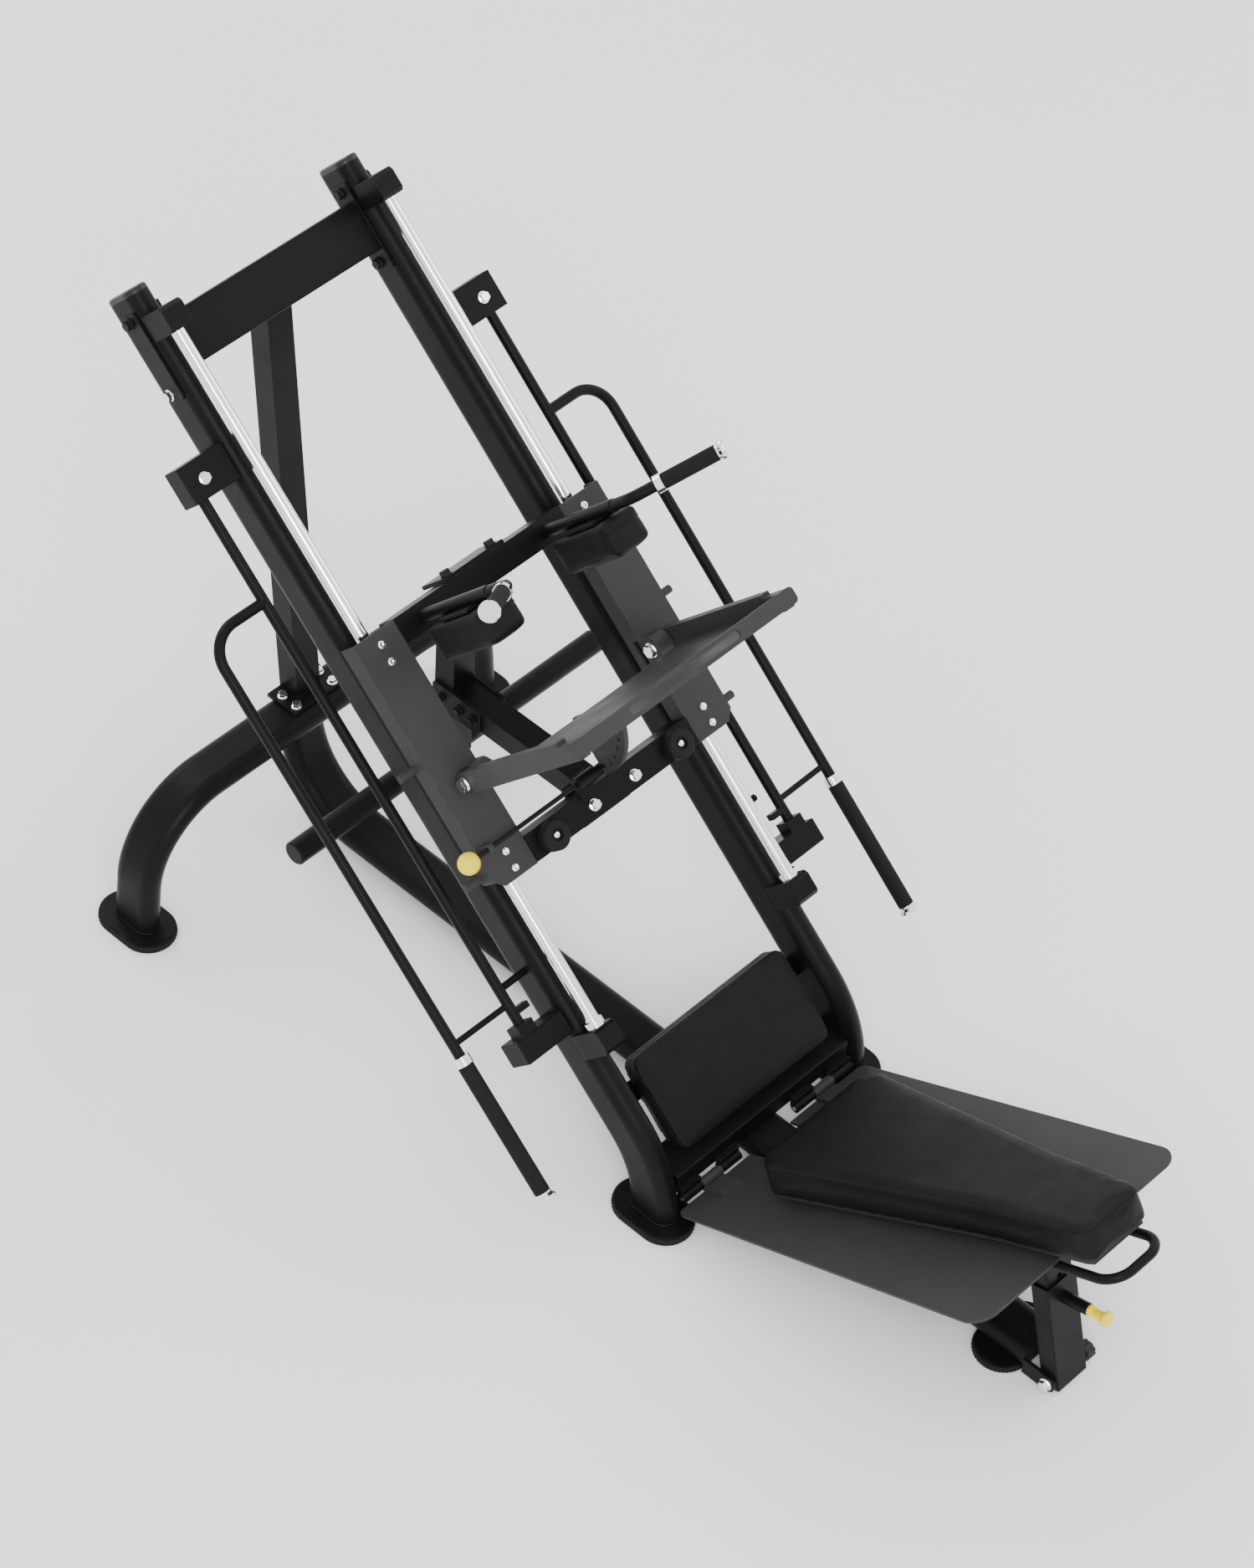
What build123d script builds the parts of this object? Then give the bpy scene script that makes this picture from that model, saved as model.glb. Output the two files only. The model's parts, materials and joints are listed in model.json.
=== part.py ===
from build123d import *
import math
import os

os.makedirs("parts", exist_ok=True)

# Plate-loaded hack squat machine, millimetres, +Z up, floor at z = 0.
# +X is the machine's right-hand side, the padded foot end points to -Y and the tall end to +Y.
#
# Most of the machine hangs on two parallel guide rods that climb towards +Y.  "Rail coordinates"
# measure x, then s down the slope from the upper end of the rods, then n square to the slope and
# outward from the plane of the rod axes.  "Plate coordinates" do the same for the sloping foot
# plate: d runs up the plate from its rear edge and h is the height square to its upper face.

# --- slope of the rails and place of the rods
RAIL_ANGLE = 42.0
ROD_TOP_Y = 998.3
ROD_TOP_Z = 1366.2
ROD_X = 260.0
ROD_RADIUS = 13.5
ROD_END_BITE = 45.0
ROD_LENGTH = 1456.0

# --- flat-oval frame tube
OVAL_LONG = 100.0
OVAL_SHORT = 50.0
WALL = 3.5
RAIL_X = 259.0
RAIL_N = -86.0
RAIL_TOP_S = -92.0
RAIL_FOOT_Y = -252.0
RAIL_BEND = 224.0
RAIL_INNER_X = RAIL_X - OVAL_SHORT / 2
RAIL_OUTER_X = RAIL_X + OVAL_SHORT / 2

# --- floor frame
FOOT_LONG = 170.0
FOOT_WIDE = 110.0
RUBBER_HEIGHT = 10.0
FOOT_TOP = 16.0
ARCH_Y = 930.0
ARCH_FOOT_X = 460.0
ARCH_SHOULDER_X = 441.0
ARCH_Z = 285.0
ARCH_BEND = 180.0
SPINE_Z = 40.0
SPINE_THICK = 48.0
SPINE_START_Y = 955.0
SPINE_BEND = 180.0
SPINE_END_Y = -962.0
STRUT_FOOT_Y = -907.0
CROSS_Y = (-283.0, -203.0)
CROSS_Z = (SPINE_Z + SPINE_THICK / 2, 110.0)
POST_WIDE = 60.0
POST_DEEP = 50.0
POST_TOP_Y = 1040.0

# --- seat pad between the rails
SEAT_HALF = 205.0
SEAT_S = (1558.0, 1762.0)
SEAT_N = (-99.0, -55.0)
SEAT_STRAP_S = 1620.0
SEAT_STRAP_N = -113.0

# --- upper frame joint
TOP_BEAM_S = (-28.0, 73.0)
TOP_BEAM_N = (-111.0, -61.0)
SIDE_PLATE_S = (-64.0, 111.0)
SIDE_PLATE_N = (-104.0, -54.0)
SIDE_PLATE = 5.0
BLACK_BOLT_SN = (-49.0, -84.0)
CHROME_BOLT_SN = (94.0, -90.0)

# --- sliding carriage (its rest place on the rods)
CHANNEL_X = (212.0, 312.0)
CHANNEL_S = (633.0, 1142.0)
CHANNEL_N = (0.0, 42.0)
CHANNEL_WALL = 6.0
CHANNEL_BOLT_S = (658.0, 693.0, 1090.0, 1124.0)
HOUSING_S = ((648.0, 703.0), (1080.0, 1134.0))
UPPER_BAR_S = (632.0, 682.0)
UPPER_TAB_N = (-46.0, 38.0)
LOWER_BAR_S = (1086.0, 1140.0)
BAR_N = (-10.0, 42.0)
LOWER_PLATE_N = 47.0
TRUSS_HALF = 27.0
TRUSS_POST_Y = (522.0, 570.0)
TRUSS_BEAM_Z = (588.0, 638.0)
TRUSS_BEAM_Y = 60.0
WEIGHT_BAR_Y = 558.0
WEIGHT_BAR_Z = 450.5
WEIGHT_BAR_RADIUS = 24.0
WEIGHT_BAR_NECK = 22.0
WEIGHT_BAR_HALF = 400.0
BUSHING_RADIUS = 19.0
CATCH_PEG_S = (880.0, 1109.0)
CATCH_PEG_N = 9.0
CATCH_PEG_END_X = 350.0

# --- swinging foot-press yoke
YOKE_S = 945.0
YOKE_N = 65.0
YOKE_ARM_X = (249.5, 271.5)
YOKE_ARM_WIDE = 42.0
YOKE_PIVOT_RADIUS = 9.0
YOKE_HALF = 283.0
YOKE_FACE_N = 453.0
YOKE_SHEET_N = 113.0
YOKE_SHEET_S = (957.0, 963.0)
YOKE_FLANGE_S = (931.0, 963.0)
YOKE_SLOT = (280.0, 15.0)
YOKE_SLOT_S = 947.0
SECTOR_RADIUS = 138.0
SECTOR_LOW_N = 56.0
SECTOR_HOLE_RADIUS = 120.0
SECTOR_HOLE_ANGLES = (90, 78, 66, 54, 42, 30)
LOCK_ROD_RADIUS = 4.5
LOCK_TIP_X = -5.6
BALL_X = -349.0
BALL_RADIUS = 21.0

# --- shoulder pads
PAD_HINGE_X = 157.0
PAD_HINGE_S = 657.0
PAD_HINGE_RADIUS = 12.5
PAD_PIN_RADIUS = 8.0
PAD_X = (113.0, 202.0)
PAD_S = (672.0, 744.0)
PAD_N = (95.0, 282.0)
KNUCKLE_N = (147.0, 242.0)
POST_HEAD_N = 285.0
HANDLE_RADIUS = 11.0
HANDLE_KNEE_N = 348.0
GRIP_ON_HANDLE = (62.0, 172.0)

# --- safety handles
SAFETY_X = 361.0
SAFETY_N = -58.0
SAFETY_RADIUS = 10.5
OUTER_BAR_X = 496.0
OUTER_BAR_N = -64.0
BLOCK_TOP_S = (207.0, 280.0)
BLOCK_LOW_S = (1400.0, 1447.0)
GRIP_START_S = 1379.0
GRIP_END_S = 1652.0
GRIP_RADIUS = 15.5

# --- sloping foot plate with its pad
PLATE_ANGLE = 26.5
PLATE_EDGE_Y = -312.0
PLATE_EDGE_Z = 48.0
PLATE_THICK = 5.0
PLATE_LENGTH = 783.0
PLATE_REAR_D = -7.0
PLATE_NOTCH_HALF = 54.0
PLATE_NOTCH_D = 74.0
PLATE_REAR_HALF = 256.0
PLATE_FRONT_HALF = 275.5
HINGE_Y = -295.0
HINGE_Z = 55.0
HINGE_RADIUS = 10.0
HINGE_PIN_RADIUS = 5.0
HINGE_X = (77.0, 232.0)
BACK_PAD_H = (26.0, 94.0)
PAD_STATIONS = ((130.0, 130.0), (163.0, 165.0), (97.0, 642.0), (82.0, 860.0), (74.0, 886.0))
U_HANDLE_RADIUS = 9.5
U_HANDLE_HALF = 67.0
U_HANDLE_D = (690.0, 915.0)

# --- telescopic leg under the plate
LEG_PIVOT = (-1024.5, 25.0)
LEG_TOP_D = 695.0
LEG_TOP_H = -25.0
LEG_OUTER = (80.0, 40.0)
LEG_INNER = (70.0, 30.0)
LEG_WALL = 4.0
LEG_TUBE_T = (-17.0, 230.0)
LEG_PIVOT_RADIUS = 8.0
TOP_PIN_RADIUS = 7.0
OPEN_PIVOT_GAP = 2.5
PULL_PIN_T = 190.0
LEG_HOLE_RADIUS = 5.06

# --- fits
RUNNING = 0.06
GAP = 0.4


def slope_plane(y, z, angle, climbs_to):
    """Plane on a slope: local x is +X, local -y runs along the slope, local z is its outward normal.

    climbs_to is +1 when the slope rises towards +Y and -1 when it rises towards -Y."""
    a = math.radians(angle)
    return Plane(origin=(0, y, z), x_dir=(1, 0, 0), z_dir=(0, -climbs_to * math.sin(a), math.cos(a)))


RAIL = slope_plane(ROD_TOP_Y, ROD_TOP_Z, RAIL_ANGLE, 1)
PLATE = slope_plane(PLATE_EDGE_Y, PLATE_EDGE_Z, PLATE_ANGLE, -1)


def at(plane, x, along, out):
    """World point of slope coordinates."""
    return plane.from_local_coords(Vector(x, -along, out))


def block(x, y, z):
    """Box between low and high values on each axis."""
    size = [high - low for low, high in (x, y, z)]
    centre = [(low + high) / 2 for low, high in (x, y, z)]
    return Pos(*centre) * Box(*size)


def slope_block(plane, x, along, out):
    """Box in slope coordinates."""
    return plane.location * block(x, (-along[1], -along[0]), out)


def rail_block(x, s, n):
    return slope_block(RAIL, x, s, n)


def plate_block(x, d, h):
    return slope_block(PLATE, x, d, h)


def rod(start, end, radius):
    """Round bar between two points."""
    start, end = Vector(*start), Vector(*end)
    base = Plane(origin=start, z_dir=end - start)
    return base.location * Cylinder(radius, (end - start).length, align=(Align.CENTER, Align.CENTER, Align.MIN))


def ring(start, end, radius, hole):
    """Round tube between two points."""
    return rod(start, end, radius) - rod(start, end, hole)


def rail_rod(x, s, n, radius):
    """Round bar between two points in rail coordinates, each of x, s and n a start and end pair."""
    return rod(at(RAIL, x[0], s[0], n[0]), at(RAIL, x[1], s[1], n[1]), radius)


def mirror_x(shape):
    return shape.mirror(Plane.YZ)


def both(shape):
    """The shape and its mirror image on the other side of the machine."""
    return [shape, mirror_x(shape)]


def signed(pair, side):
    """An x range moved to one side of the machine, kept in rising order."""
    return tuple(sorted((side * pair[0], side * pair[1])))


def oval_section(path, long_dir, long_side, short_side):
    """Flat-oval face at the start of a path, its long side along long_dir."""
    start = Plane(origin=path @ 0, x_dir=long_dir, z_dir=path % 0)
    return start * SlotOverall(long_side, short_side)


def oval_bar(path, long_dir, long_side=OVAL_LONG, short_side=OVAL_SHORT):
    return sweep(oval_section(path, long_dir, long_side, short_side), path=path)


def oval_tube(path, long_dir, long_side=OVAL_LONG, short_side=OVAL_SHORT):
    """Hollow flat-oval tube along a path."""
    bore = oval_bar(path, long_dir, long_side - 2 * WALL, short_side - 2 * WALL)
    return oval_bar(path, long_dir, long_side, short_side) - bore


def nut(seat, out, flats, height):
    """Hexagon on a washer that sits at seat and points along out."""
    base = Plane(origin=Vector(*seat), z_dir=Vector(*out))
    washer = Cylinder(flats * 0.68, 2, align=(Align.CENTER, Align.CENTER, Align.MIN))
    hexagon = Pos(0, 0, 2) * extrude(RegularPolygon(flats / 2, 6, major_radius=False), height)
    return base.location * (washer + hexagon)


def bolt(seat, out, flats, head, shank):
    """Hexagon bolt: its washer sits at seat, the head points along out, the shank goes the other way."""
    base = Plane(origin=Vector(*seat), z_dir=Vector(*out))
    stem = Cylinder(flats * 0.3, shank, align=(Align.CENTER, Align.CENTER, Align.MAX))
    return nut(seat, out, flats, head) + base.location * stem


def button(seat, out, radius, shank):
    """Button-head screw with a hexagon socket."""
    base = Plane(origin=Vector(*seat), z_dir=Vector(*out))
    head = Cylinder(radius, radius * 0.6, align=(Align.CENTER, Align.CENTER, Align.MIN))
    head = fillet(head.edges().sort_by(Axis.Z)[-1], radius * 0.45)
    socket = Pos(0, 0, radius * 0.25) * extrude(RegularPolygon(radius * 0.4, 6), radius)
    stem = Cylinder(radius * 0.5, shank, align=(Align.CENTER, Align.CENTER, Align.MAX))
    return base.location * (head - socket + stem)


def cut(shape, tools):
    """The shape less every tool, as a compound of what is left."""
    for tool in tools:
        shape = shape - tool
    return shape


def write(name, *pieces):
    """Write one sub-part, made of one or more separate solids, to its own file."""
    solids = [solid for piece in pieces for solid in piece.solids()]
    export_step(solids[0] if len(solids) == 1 else Compound(children=solids), f"parts/{name}.step")


X_AXIS = (1, 0, 0)
Y_AXIS = (0, 1, 0)
RAIL_OUT = RAIL.z_dir
RAIL_DOWN = -RAIL.y_dir


# ---------------------------------------------------------------- fixed frame

def rail_path():
    top = at(RAIL, RAIL_X, RAIL_TOP_S, RAIL_N)
    slope = math.tan(math.radians(RAIL_ANGLE))
    knee = Vector(RAIL_X, RAIL_FOOT_Y, top.Z - (top.Y - RAIL_FOOT_Y) * slope)
    return FilletPolyline(top, knee, (RAIL_X, RAIL_FOOT_Y, FOOT_TOP), radius=RAIL_BEND)


def arch_path():
    return FilletPolyline(
        (-ARCH_FOOT_X, ARCH_Y, FOOT_TOP),
        (-ARCH_SHOULDER_X, ARCH_Y, ARCH_Z),
        (ARCH_SHOULDER_X, ARCH_Y, ARCH_Z),
        (ARCH_FOOT_X, ARCH_Y, FOOT_TOP),
        radius=ARCH_BEND,
    )


def spine_path():
    return FilletPolyline(
        (0, SPINE_START_Y, ARCH_Z),
        (0, SPINE_START_Y, SPINE_Z),
        (0, SPINE_END_Y, SPINE_Z),
        radius=SPINE_BEND,
    )


def rail_top_caps():
    """Domed plastic plugs in the upper ends of the rails."""
    base = Plane(origin=at(RAIL, RAIL_X, RAIL_TOP_S, RAIL_N), x_dir=RAIL_OUT, z_dir=-RAIL_DOWN)
    lid = extrude(SlotOverall(OVAL_LONG, OVAL_SHORT), 11)
    lid = fillet(lid.faces().sort_by(Axis.Z)[-1].edges(), 6)
    plug = Pos(0, 0, -18) * extrude(SlotOverall(OVAL_LONG - 2 * WALL, OVAL_SHORT - 2 * WALL), 18)
    return both(base.location * (lid + plug))


def side_bolts(sn):
    """One bolt through outer plate, rail and inner flange, on each side."""
    seat = at(RAIL, RAIL_OUTER_X + SIDE_PLATE, *sn)
    return both(bolt(seat, X_AXIS, 17, 9, OVAL_SHORT + 2 * SIDE_PLATE))


def side_nuts(sn):
    """The black nuts of the side bolts, on the inner flanges."""
    return both(nut(at(RAIL, RAIL_INNER_X - SIDE_PLATE, *sn), (-1, 0, 0), 17, 8))


def top_crossbeam(bolts):
    """Rectangular beam with a bolting flange welded on each end."""
    flange_x = (RAIL_INNER_X - SIDE_PLATE, RAIL_INNER_X)
    beam = rail_block((-flange_x[0], flange_x[0]), TOP_BEAM_S, TOP_BEAM_N)
    hollow = rail_block(
        (-flange_x[0], flange_x[0]),
        (TOP_BEAM_S[0] + WALL, TOP_BEAM_S[1] - WALL),
        (TOP_BEAM_N[0] + WALL, TOP_BEAM_N[1] - WALL),
    )
    beam = fillet(beam.edges().filter_by(Axis.X), 5) - hollow
    for side in (-1, 1):
        beam = beam + rail_block(signed(flange_x, side), SIDE_PLATE_S, SIDE_PLATE_N)
    return cut(beam, bolts)


def outer_side_plates(bolts):
    plate = rail_block((RAIL_OUTER_X, RAIL_OUTER_X + SIDE_PLATE), SIDE_PLATE_S, SIDE_PLATE_N)
    plate = fillet(plate.edges().filter_by(Axis.X), 8)
    return [cut(piece, bolts) for piece in both(plate)]


def rod_end_block(s, rail, hole):
    """Clamp block that saddles the rail and holds one end of the guide rod."""
    body = rail_block((RAIL_OUTER_X - 49, RAIL_OUTER_X), s, (-58, 26))
    body = chamfer(body.edges().filter_by(Axis.X).sort_by(lambda e: -(e.center() - RAIL.origin).dot(RAIL_OUT))[:2], 7)
    return body - rail - hole


def stadium(length, width, height, z, turn):
    return Pos(0, 0, z) * extrude(SlotOverall(length, width, rotation=turn), height)


FEET = [
    (RAIL_X, RAIL_FOOT_Y, 90),
    (-RAIL_X, RAIL_FOOT_Y, 90),
    (ARCH_FOOT_X, ARCH_Y, 90),
    (-ARCH_FOOT_X, ARCH_Y, 90),
    (0, STRUT_FOOT_Y, 0),
]


def base_plates():
    return [
        Pos(x, y, 0) * stadium(FOOT_LONG - 6, FOOT_WIDE - 6, FOOT_TOP - RUBBER_HEIGHT, RUBBER_HEIGHT, turn)
        for x, y, turn in FEET
    ]


def rubber_feet():
    """Rubber soles with a lip that stands a little above the steel plates' edge."""
    soles = []
    for x, y, turn in FEET:
        sole = stadium(FOOT_LONG, FOOT_WIDE, RUBBER_HEIGHT, 0, turn)
        lip = stadium(FOOT_LONG, FOOT_WIDE, 4, RUBBER_HEIGHT, turn)
        lip = lip - stadium(FOOT_LONG - 6, FOOT_WIDE - 6, 4, RUBBER_HEIGHT, turn)
        soles.append(Pos(x, y, 0) * (sole + lip))
    return soles


def centre_post(arch, top_beam, bolts):
    """Leaning rectangular post with a base flange bolted on the arch."""
    foot = Vector(0, SPINE_START_Y, ARCH_Z)
    head = at(RAIL, 0, sum(TOP_BEAM_S) / 2, sum(TOP_BEAM_N) / 2)
    head = Vector(0, POST_TOP_Y, head.Z)
    base = Plane(origin=foot, x_dir=X_AXIS, z_dir=head - foot)
    length = (head - foot).length
    section = Rectangle(POST_WIDE, POST_DEEP) - Rectangle(POST_WIDE - 2 * WALL, POST_DEEP - 2 * WALL)
    post = base.location * extrude(section, length)
    flange_z = ARCH_Z + OVAL_SHORT / 2
    flange = block((-64, 64), (ARCH_Y - 25, SPINE_START_Y + 27), (flange_z, flange_z + 8))
    post = post - block((-80, 80), (ARCH_Y - 90, ARCH_Y + 120), (flange_z - 90, flange_z))
    return cut(post + flange - arch, [top_beam, *bolts])


def base_bolts():
    z = ARCH_Z + OVAL_SHORT / 2 + 8
    return [bolt((x, y, z), (0, 0, 1), 15, 8, 8) for x in (-48, 48) for y in (ARCH_Y - 12, ARCH_Y + 26)]


def front_crossbeam(rails):
    """Box beam between the rail legs that carries the fixed knuckles of the plate's hinge."""
    beam = block((-RAIL_INNER_X, RAIL_INNER_X), CROSS_Y, CROSS_Z)
    hollow = block(
        (-RAIL_INNER_X, RAIL_INNER_X),
        (CROSS_Y[0] + WALL, CROSS_Y[1] - WALL),
        (CROSS_Z[0] + WALL, CROSS_Z[1] - WALL),
    )
    beam = fillet(beam.edges().filter_by(Axis.X), 4) - hollow
    third = (HINGE_X[1] - HINGE_X[0]) / 3
    pin_hole = rod((-RAIL_INNER_X, HINGE_Y, HINGE_Z), (RAIL_INNER_X, HINGE_Y, HINGE_Z), HINGE_PIN_RADIUS)
    for side in (-1, 1):
        for x in (HINGE_X[0], HINGE_X[0] + 2 * third):
            span = signed((x + GAP, x + third - GAP), side)
            knuckle = rod((span[0], HINGE_Y, HINGE_Z), (span[1], HINGE_Y, HINGE_Z), HINGE_RADIUS)
            web = block(span, (HINGE_Y, CROSS_Y[0]), (HINGE_Z, CROSS_Z[0] + 14))
            beam = beam + (knuckle + web - pin_hole)
    return cut(beam, rails)


def hinge_pins():
    pins = []
    for side in (-1, 1):
        low, high = signed((HINGE_X[0] - 1, HINGE_X[1] + 1), side)
        pins.append(rod((low, HINGE_Y, HINGE_Z), (high, HINGE_Y, HINGE_Z), HINGE_PIN_RADIUS))
    return pins


def leg_clevis(hole):
    """End plate of the spine with two ears that hold the foot of the leg."""
    cap = Pos(0, SPINE_END_Y, SPINE_Z) * Rot(90, 0, 0) * extrude(SlotOverall(OVAL_LONG, SPINE_THICK), 6)
    y, z = LEG_PIVOT
    ears = []
    for low, high in ((-49, -41.5), (41.5, 49)):
        ear = block((low, high), (y, SPINE_END_Y - 6), (z - 18, z + 18)) + rod((low, y, z), (high, y, z), 18)
        ears.append(ear)
    return cap + ears[0] + ears[1] - hole


def handle_top_block(rod_hole, bolt_piece):
    """Upper bearing block of a safety handle, beside the rail."""
    body = rail_block((RAIL_OUTER_X, 390), BLOCK_TOP_S, (-80, -33))
    return fillet(body.edges(), 2) - rod_hole - bolt_piece


def handle_low_block(rod_hole):
    """Lower bearing block of a safety handle, with a short nose around the rod and a stop peg."""
    body = rail_block((RAIL_OUTER_X, 397), BLOCK_LOW_S, (-100, -38))
    body = fillet(body.edges(), 3)
    nose = rail_block((342, 380), (1378, BLOCK_LOW_S[0] + 2), (-78, -41))
    peg = rail_rod((RAIL_OUTER_X - 1, 338), (1312, 1312), (-84, -84), 7)
    return [body + nose - rod_hole, peg - rail_block((RAIL_INNER_X, RAIL_OUTER_X), (1200, 1400), (-136, -36))]


def seat_pad():
    pad = rail_block((-SEAT_HALF, SEAT_HALF), SEAT_S, SEAT_N)
    return fillet(pad.edges().filter_by(lambda e: abs(e.tangent_at(0.5).dot(RAIL_OUT)) > 0.99), 25)


def seat_backing():
    """Steel tray behind the seat pad, with a strap to each rail."""
    tray = rail_block((15 - SEAT_HALF, SEAT_HALF - 15), (SEAT_S[0] + 14, SEAT_S[1] - 26), (SEAT_N[0] - 8, SEAT_N[0]))
    strap = rail_block(
        (-RAIL_INNER_X, RAIL_INNER_X),
        (SEAT_STRAP_S - 20, SEAT_STRAP_S + 20),
        (SEAT_STRAP_N, SEAT_STRAP_N + 6),
    )
    return tray + strap


def seat_bolts():
    return [button(at(RAIL, x, SEAT_STRAP_S, SEAT_STRAP_N), -RAIL_OUT, 7, 6) for x in (-160, 160)]


def frame_parts():
    rail = oval_tube(rail_path(), RAIL_OUT)
    rail_solid = oval_bar(rail_path(), RAIL_OUT)
    arch_solid = oval_bar(arch_path(), Y_AXIS)
    black_bolts = side_bolts(BLACK_BOLT_SN)
    chrome_bolts = side_bolts(CHROME_BOLT_SN)
    through = black_bolts + chrome_bolts
    write("rail_right", cut(rail, through))
    write("rail_left", cut(mirror_x(rail), through))
    write("rail_end_caps", *rail_top_caps())

    beam = top_crossbeam(through)
    write("top_crossbeam", beam)
    write("top_side_plates", *outer_side_plates(through))

    guide = rail_rod((ROD_X, ROD_X), (-ROD_END_BITE, ROD_LENGTH + ROD_END_BITE), (0, 0), ROD_RADIUS)
    blocks = [
        rod_end_block((-50, 0), rail_solid, guide),
        rod_end_block((ROD_LENGTH, ROD_LENGTH + 50), rail_solid, guide),
    ]
    write("rod_end_blocks", *[piece for body in blocks for piece in both(body)])
    collar = ring(
        at(RAIL, ROD_X, ROD_LENGTH - 14, 0),
        at(RAIL, ROD_X, ROD_LENGTH, 0),
        ROD_RADIUS + 4.5,
        ROD_RADIUS,
    )
    write("guide_rods", *both(guide), *both(collar))

    write("rear_arch", cut(oval_tube(arch_path(), Y_AXIS), base_plates()))
    flange_bolts = base_bolts()
    top_beam_solid = rail_block((-200, 200), TOP_BEAM_S, TOP_BEAM_N) + rail_block(
        (-200, 200), TOP_BEAM_S, (TOP_BEAM_N[0], TOP_BEAM_N[1] + 60)
    )
    write("centre_post", centre_post(arch_solid, top_beam_solid, flange_bolts))
    spine = oval_tube(spine_path(), X_AXIS, OVAL_LONG, SPINE_THICK)
    write("base_spine", spine - arch_solid)
    write("front_crossbeam", front_crossbeam([rail_solid, mirror_x(rail_solid)]))
    write("hinge_pins", *hinge_pins())
    write("foot_base_plates", *base_plates())
    write("rubber_feet", *rubber_feet())

    y, z = LEG_PIVOT
    pivot = rod((-52, y, z), (60, y, z), LEG_PIVOT_RADIUS)
    head = bolt((-49, y, z), (-1, 0, 0), 19, 9, 8)
    write("leg_clevis", leg_clevis(rod((-60, y, z), (60, y, z), LEG_PIVOT_RADIUS)))
    write("leg_pivot_bolt", rod((-49, y, z), (62, y, z), LEG_PIVOT_RADIUS) + head)
    knob = Plane(origin=(49, y, z), z_dir=X_AXIS).location * extrude(pivot_knob_outline(), 21)
    knob = fillet(knob.faces().sort_by(Axis.X)[-1].edges(), 2)
    write("leg_pivot_knob", knob - rod((49, y, z), (62, y, z), LEG_PIVOT_RADIUS))

    rod_hole = rail_rod((SAFETY_X, SAFETY_X), (262, 1394), (SAFETY_N, SAFETY_N), SAFETY_RADIUS + RUNNING)
    block_bolt = bolt(at(RAIL, 349, 246, -33), RAIL_OUT, 17, 8, 30)
    top_block = handle_top_block(rod_hole, block_bolt)
    low_block = handle_low_block(rod_hole)
    write("handle_bearing_blocks", *[piece for body in [top_block, *low_block] for piece in both(body)])

    tray_bolts = seat_bolts()
    write("seat_pad", seat_pad())
    write("seat_backing", cut(seat_backing(), tray_bolts))
    write("frame_bolts", *chrome_bolts, *flange_bolts, *both(block_bolt), *tray_bolts)
    write("frame_bolts_black", *black_bolts, *side_nuts(BLACK_BOLT_SN), *side_nuts(CHROME_BOLT_SN))


def pivot_knob_outline():
    """Round knob outline with finger scallops."""
    outline = Circle(19)
    for k in range(9):
        a = 2 * math.pi * k / 9
        outline = outline - Pos(21 * math.cos(a), 21 * math.sin(a)) * Circle(4)
    return outline


# ---------------------------------------------------------------- carriage

def channel_screws():
    """Screws that hold the bearing housings, all on the right-hand channel."""
    return [button(at(RAIL, RAIL_X, s, CHANNEL_N[1]), RAIL_OUT, 8, 18) for s in CHANNEL_BOLT_S]


def lock_rod_hole():
    """Straight bore for the lock rod, along X through the yoke's index line."""
    s = YOKE_S + SECTOR_HOLE_RADIUS
    return rail_rod((-340, -10), (s, s), (YOKE_N, YOKE_N), LOCK_ROD_RADIUS + RUNNING)


def yoke_bore(radius):
    """Bore along X on the yoke's pivot axis, on the right-hand side."""
    return rail_rod((150, 330), (YOKE_S, YOKE_S), (YOKE_N, YOKE_N), radius)


def side_channel(screws):
    """U-channel over a guide rod, with the yoke's lug, two catch pegs and a cut lower corner."""
    body = rail_block(CHANNEL_X, CHANNEL_S, CHANNEL_N)
    hollow = rail_block(
        (CHANNEL_X[0] + CHANNEL_WALL, CHANNEL_X[1] - CHANNEL_WALL),
        (CHANNEL_S[0] - 1, CHANNEL_S[1] + 1),
        (CHANNEL_N[0] - 1, CHANNEL_N[1] - CHANNEL_WALL),
    )
    corner_edge = body.edges().filter_by(lambda e: abs(e.tangent_at(0.5).dot(RAIL_OUT)) > 0.99)
    corner_edge = corner_edge.sort_by_distance(at(RAIL, CHANNEL_X[1], CHANNEL_S[1], 20))[0]
    body = chamfer(corner_edge, 20) - hollow
    half = YOKE_ARM_WIDE / 2 + 3
    lug = rail_block((CHANNEL_X[0], 247), (YOKE_S - half, YOKE_S + half), (CHANNEL_N[1], YOKE_N))
    lug = lug + rail_rod((CHANNEL_X[0], 247), (YOKE_S, YOKE_S), (YOKE_N, YOKE_N), half)
    body = body + lug - rail_block((CHANNEL_X[0], 247), (YOKE_S - half, YOKE_S + half), (20, CHANNEL_N[1] - 6))
    for s in CATCH_PEG_S:
        body = body + rail_rod((CHANNEL_X[1], CATCH_PEG_END_X), (s, s), (CATCH_PEG_N,) * 2, 8)
    return cut(body, [*screws, yoke_bore(YOKE_PIVOT_RADIUS)])


def lock_guide(hole):
    """Small lug on the left-hand channel that steadies the lock rod."""
    s = YOKE_S + SECTOR_HOLE_RADIUS
    lug = rail_block((-302, -292), (s - 9, s + 9), (CHANNEL_N[1], YOKE_N))
    return lug + rail_rod((-302, -292), (s, s), (YOKE_N, YOKE_N), 9) - hole


def housing(s, screws, guide_bore):
    """Pillow block bolted inside a channel, bored for a linear bushing."""
    body = rail_block((RAIL_X - 26, RAIL_X + 26), s, (-24, CHANNEL_N[1] - CHANNEL_WALL))
    return cut(body, [*screws, guide_bore])


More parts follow.
